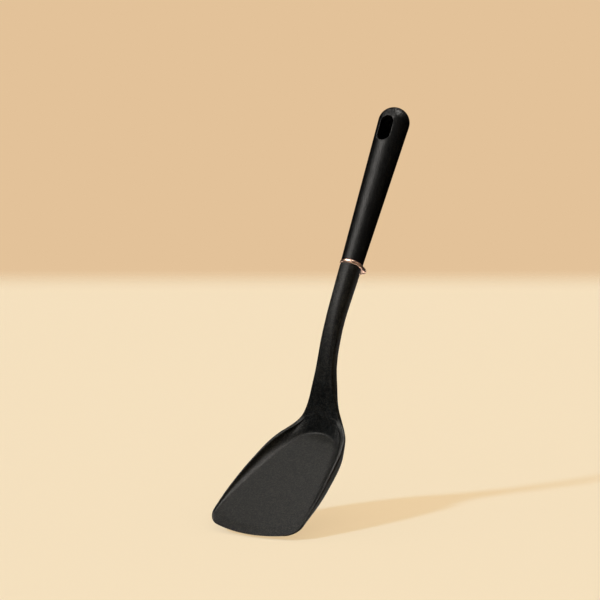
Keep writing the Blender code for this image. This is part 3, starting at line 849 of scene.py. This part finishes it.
def moulded_nylon(name, dark, pale, fleck_size, grain_size, grain_depth):
    """Black nylon with pale flecks of its filler and the fine grain of its mould."""
    material = new_material(name, dark, NYLON_SHEEN_HIGH)
    tree = material.node_tree
    grain = add_noise(tree, grain_size)
    clouds = add_noise(tree, NYLON_CLOUD)
    add_tint(tree, add_flecks(tree, fleck_size), dark, pale)
    dulled = mix_masks(tree, grain, clouds, NYLON_CLOUD_SHARE)
    add_sheen(tree, dulled, NYLON_SHEEN_LOW, NYLON_SHEEN_HIGH)
    add_relief(tree, grain, grain_depth)
    return material


def glass_filled_nylon():
    """Dark nylon with short glass fibres that lie along the handle."""
    material = new_material("glass_filled_nylon", CORE_DARK, CORE_ROUGHNESS)
    tree = material.node_tree
    fibres = add_noise(tree, CORE_FIBRE, (1, 1, CORE_FIBRE_STRETCH))
    add_tint(tree, fibres, CORE_DARK, CORE_PALE)
    add_relief(tree, fibres, CORE_DEPTH)
    return material


def brushed_rose_metal():
    """Rose-coloured metal, brushed round the ring."""
    material = new_material("rose_metal", ROSE_LIGHT, METAL_SHEEN_LOW, ROSE_METALLIC)
    tree = material.node_tree
    stretch = BRUSH_LENGTH / BRUSH_WIDTH
    brushing = add_noise(tree, BRUSH_WIDTH, (stretch, stretch, 1))
    add_tint(tree, add_noise(tree, TINT_CLOUD), ROSE_DEEP, ROSE_LIGHT)
    add_sheen(tree, brushing, METAL_SHEEN_LOW, METAL_SHEEN_HIGH)
    add_relief(tree, brushing, BRUSH_DEPTH)
    return material


def new_collection(name, pieces):
    """A named group of pieces, outside the scene's own collections."""
    collection = bpy.data.collections.new(name)
    for piece in pieces:
        collection.objects.link(piece)
    return collection


def make_camera():
    """The camera, and the directions that are right, up and towards the viewer in its picture."""
    data = bpy.data.cameras.new("camera")
    data.angle = FIELD_OF_VIEW
    camera = bpy.data.objects.new("camera", data)
    bpy.context.scene.collection.objects.link(camera)
    turn = Matrix.Rotation(CAMERA_TURN, 3, "Z")
    tilt = Matrix.Rotation(CAMERA_TILT, 3, "X")
    roll = Matrix.Rotation(CAMERA_ROLL, 3, "Z")
    facing = turn @ tilt @ roll
    aim = Vector((0, 0, -AIM_BELOW_ORIGIN))
    offset = facing @ Vector((AIM_RIGHT_OF_AXIS, AIM_ABOVE_AXIS, -CAMERA_DISTANCE))
    camera.matrix_world = Matrix.Translation(aim - offset) @ facing.to_4x4()
    bpy.context.scene.camera = camera
    return facing


def make_world():
    """A plain backdrop for what is seen or mirrored, and a soft even light for the rest."""
    world = bpy.data.worlds.new("studio")
    bpy.context.scene.world = world
    world.use_nodes = True
    tree = world.node_tree
    path = add_node(tree, "ShaderNodeLightPath")
    seen = add_node(tree, "ShaderNodeMath", operation="MAXIMUM")
    tree.links.new(path.outputs["Is Camera Ray"], seen.inputs[0])
    tree.links.new(path.outputs["Is Glossy Ray"], seen.inputs[1])
    shown = add_node(tree, "ShaderNodeMath", operation="MAXIMUM")
    tree.links.new(seen.outputs[0], shown.inputs[0])
    tree.links.new(path.outputs["Is Transmission Ray"], shown.inputs[1])
    colour = add_node(tree, "ShaderNodeMix", data_type="RGBA")
    tree.links.new(shown.outputs[0], colour.inputs["Factor"])
    colour.inputs["A"].default_value = (*AMBIENT_LIGHT, 1)
    colour.inputs["B"].default_value = (*BACKDROP_TAN, 1)
    tree.links.new(colour.outputs["Result"], tree.nodes["Background"].inputs["Color"])


def in_picture(facing, right, up, near):
    """A direction in space from its parts to the right, up and towards the viewer in the picture."""
    return (facing @ Vector((right, up, near))).normalized()


def make_lamp(name, towards, strength, colour, spread):
    """A far lamp that stands in a direction, as wide as its spread."""
    data = bpy.data.lights.new(name, "SUN")
    data.energy = strength
    data.color = colour
    data.angle = spread
    data.cycles.use_multiple_importance_sampling = False
    lamp = bpy.data.objects.new(name, data)
    bpy.context.scene.collection.objects.link(lamp)
    lamp.rotation_mode = "QUATERNION"
    lamp.rotation_quaternion = towards.to_track_quat("Z", "Y")
    return lamp


def floor_axes(facing):
    """Right, away and up along the floor, which the picture shows from a little above."""
    up = in_picture(facing, 0, math.cos(FLOOR_PITCH), math.sin(FLOOR_PITCH))
    right = in_picture(facing, 1, 0, 0)
    return Matrix((right, up.cross(right), up)).transposed()


def floor_material():
    """A plain pale floor whose far side fades into the backdrop."""
    material = new_material("pale_floor", FLOOR_CREAM, FLOOR_ROUGHNESS)
    tree = material.node_tree
    shader = tree.nodes["Principled BSDF"]
    shader.inputs["Specular IOR Level"].default_value = 0
    place = add_node(tree, "ShaderNodeTexCoord")
    axes = add_node(tree, "ShaderNodeSeparateXYZ")
    tree.links.new(place.outputs["Object"], axes.inputs[0])
    fade = add_node(tree, "ShaderNodeMapRange", interpolation_type="SMOOTHSTEP")
    tree.links.new(axes.outputs["Y"], fade.inputs["Value"])
    fade.inputs["From Min"].default_value = FLOOR_FADE_START
    fade.inputs["From Max"].default_value = FLOOR_FADE_END
    clear = add_node(tree, "ShaderNodeBsdfTransparent")
    mixed = add_node(tree, "ShaderNodeMixShader")
    tree.links.new(fade.outputs["Result"], mixed.inputs[0])
    tree.links.new(shader.outputs[0], mixed.inputs[1])
    tree.links.new(clear.outputs[0], mixed.inputs[2])
    tree.links.new(mixed.outputs[0], tree.nodes["Material Output"].inputs["Surface"])
    return material


def make_floor(facing, pieces):
    """A wide flat floor just under the lowest point of the tool, as the picture stands it."""
    axes = floor_axes(facing)
    up = axes.col[2]
    lowest = min((vertex.co for piece in pieces for vertex in piece.data.vertices), key=up.dot)
    shape = bmesh.new()
    bmesh.ops.create_grid(shape, size=FLOOR_REACH)
    floor = new_object(new_mesh("floor", shape), floor_material())
    floor.matrix_world = Matrix.Translation(lowest - up * FLOOR_CLEARANCE) @ axes.to_4x4()
    floor.visible_glossy = False
    return floor


def make_tent(centre):
    """Black cloth all round the tool that only its gloss sees, as in a dark-field studio."""
    shape = bmesh.new()
    bmesh.ops.create_uvsphere(shape, u_segments=TENT_SIDES, v_segments=TENT_SIDES, radius=TENT_RADIUS)
    cloth = new_material("black_cloth", TENT_BLACK, TENT_ROUGHNESS)
    cloth.node_tree.nodes["Principled BSDF"].inputs["Specular IOR Level"].default_value = 0
    tent = new_object(new_mesh("dark_tent", shape), cloth)
    tent.location = centre
    tent.visible_camera = False
    tent.visible_diffuse = False
    tent.visible_shadow = False
    tent.visible_transmission = False
    return tent


def light_studio(facing, head, ring, handle):
    """A low key that casts the shadow, a shadowless sky, soft boxes that only gloss shows, and cards.

    One soft box is for the handle and ring alone. One is for the head alone and stands below, where the
    floor doesn't block it. The cards light the metal ring alone.
    """
    up, side = math.sin(KEY_HEIGHT), math.cos(KEY_HEIGHT)
    axes = floor_axes(facing)
    towards_key = axes @ Vector((-side * math.cos(KEY_TURN), -side * math.sin(KEY_TURN), up))
    key = make_lamp("key", towards_key, KEY_STRENGTH, KEY_COLOUR, KEY_SPREAD)
    key.visible_glossy = False
    sky = make_lamp("sky", axes.col[2], SKY_STRENGTH, SKY_COLOUR, 0)
    sky.visible_glossy = False
    sky.data.use_shadow = False
    soft_boxes = {}
    for name, towards, spread, strength in SOFT_BOXES:
        soft_boxes[name] = make_lamp(name, in_picture(facing, *towards), strength, SOFT_WHITE, spread)
        soft_boxes[name].visible_diffuse = False
    upper = new_collection("handle_and_ring", [ring, handle])
    soft_boxes["strip_on_handle"].light_linking.receiver_collection = upper
    tool = new_collection("tool", [head, ring, handle])
    soft_boxes["edge"].light_linking.blocker_collection = tool
    soft_boxes["edge"].light_linking.receiver_collection = new_collection("head_alone", [head])
    metal = new_collection("metal", [ring])
    for name, towards, spread, strength, colour in METAL_CARDS:
        card = make_lamp(name, in_picture(facing, *towards), strength, colour, spread)
        card.data.use_shadow = False
        card.light_linking.receiver_collection = metal


def main():
    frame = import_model()
    cad_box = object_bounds()
    facing = make_camera()
    body = moulded_nylon("head_nylon", HEAD_DARK, HEAD_PALE, HEAD_FLECK, HEAD_GRAIN, HEAD_GRAIN_DEPTH)
    head = make_head(body)
    ring = make_ring(brushed_rose_metal())
    shell = moulded_nylon(
        "handle_nylon", HANDLE_DARK, HANDLE_PALE, HANDLE_FLECK, HANDLE_GRAIN, HANDLE_GRAIN_DEPTH
    )
    handle = make_handle(shell)
    core = frame["nodes"]["handle_core"]
    core.material_slots[0].material = glass_filled_nylon()
    make_world()
    make_floor(facing, [head, handle])
    make_tent((cad_box[0] + cad_box[1]) / 2)
    light_studio(facing, head, ring, handle)
    bpy.context.scene.view_settings.view_transform = "Standard"


main()
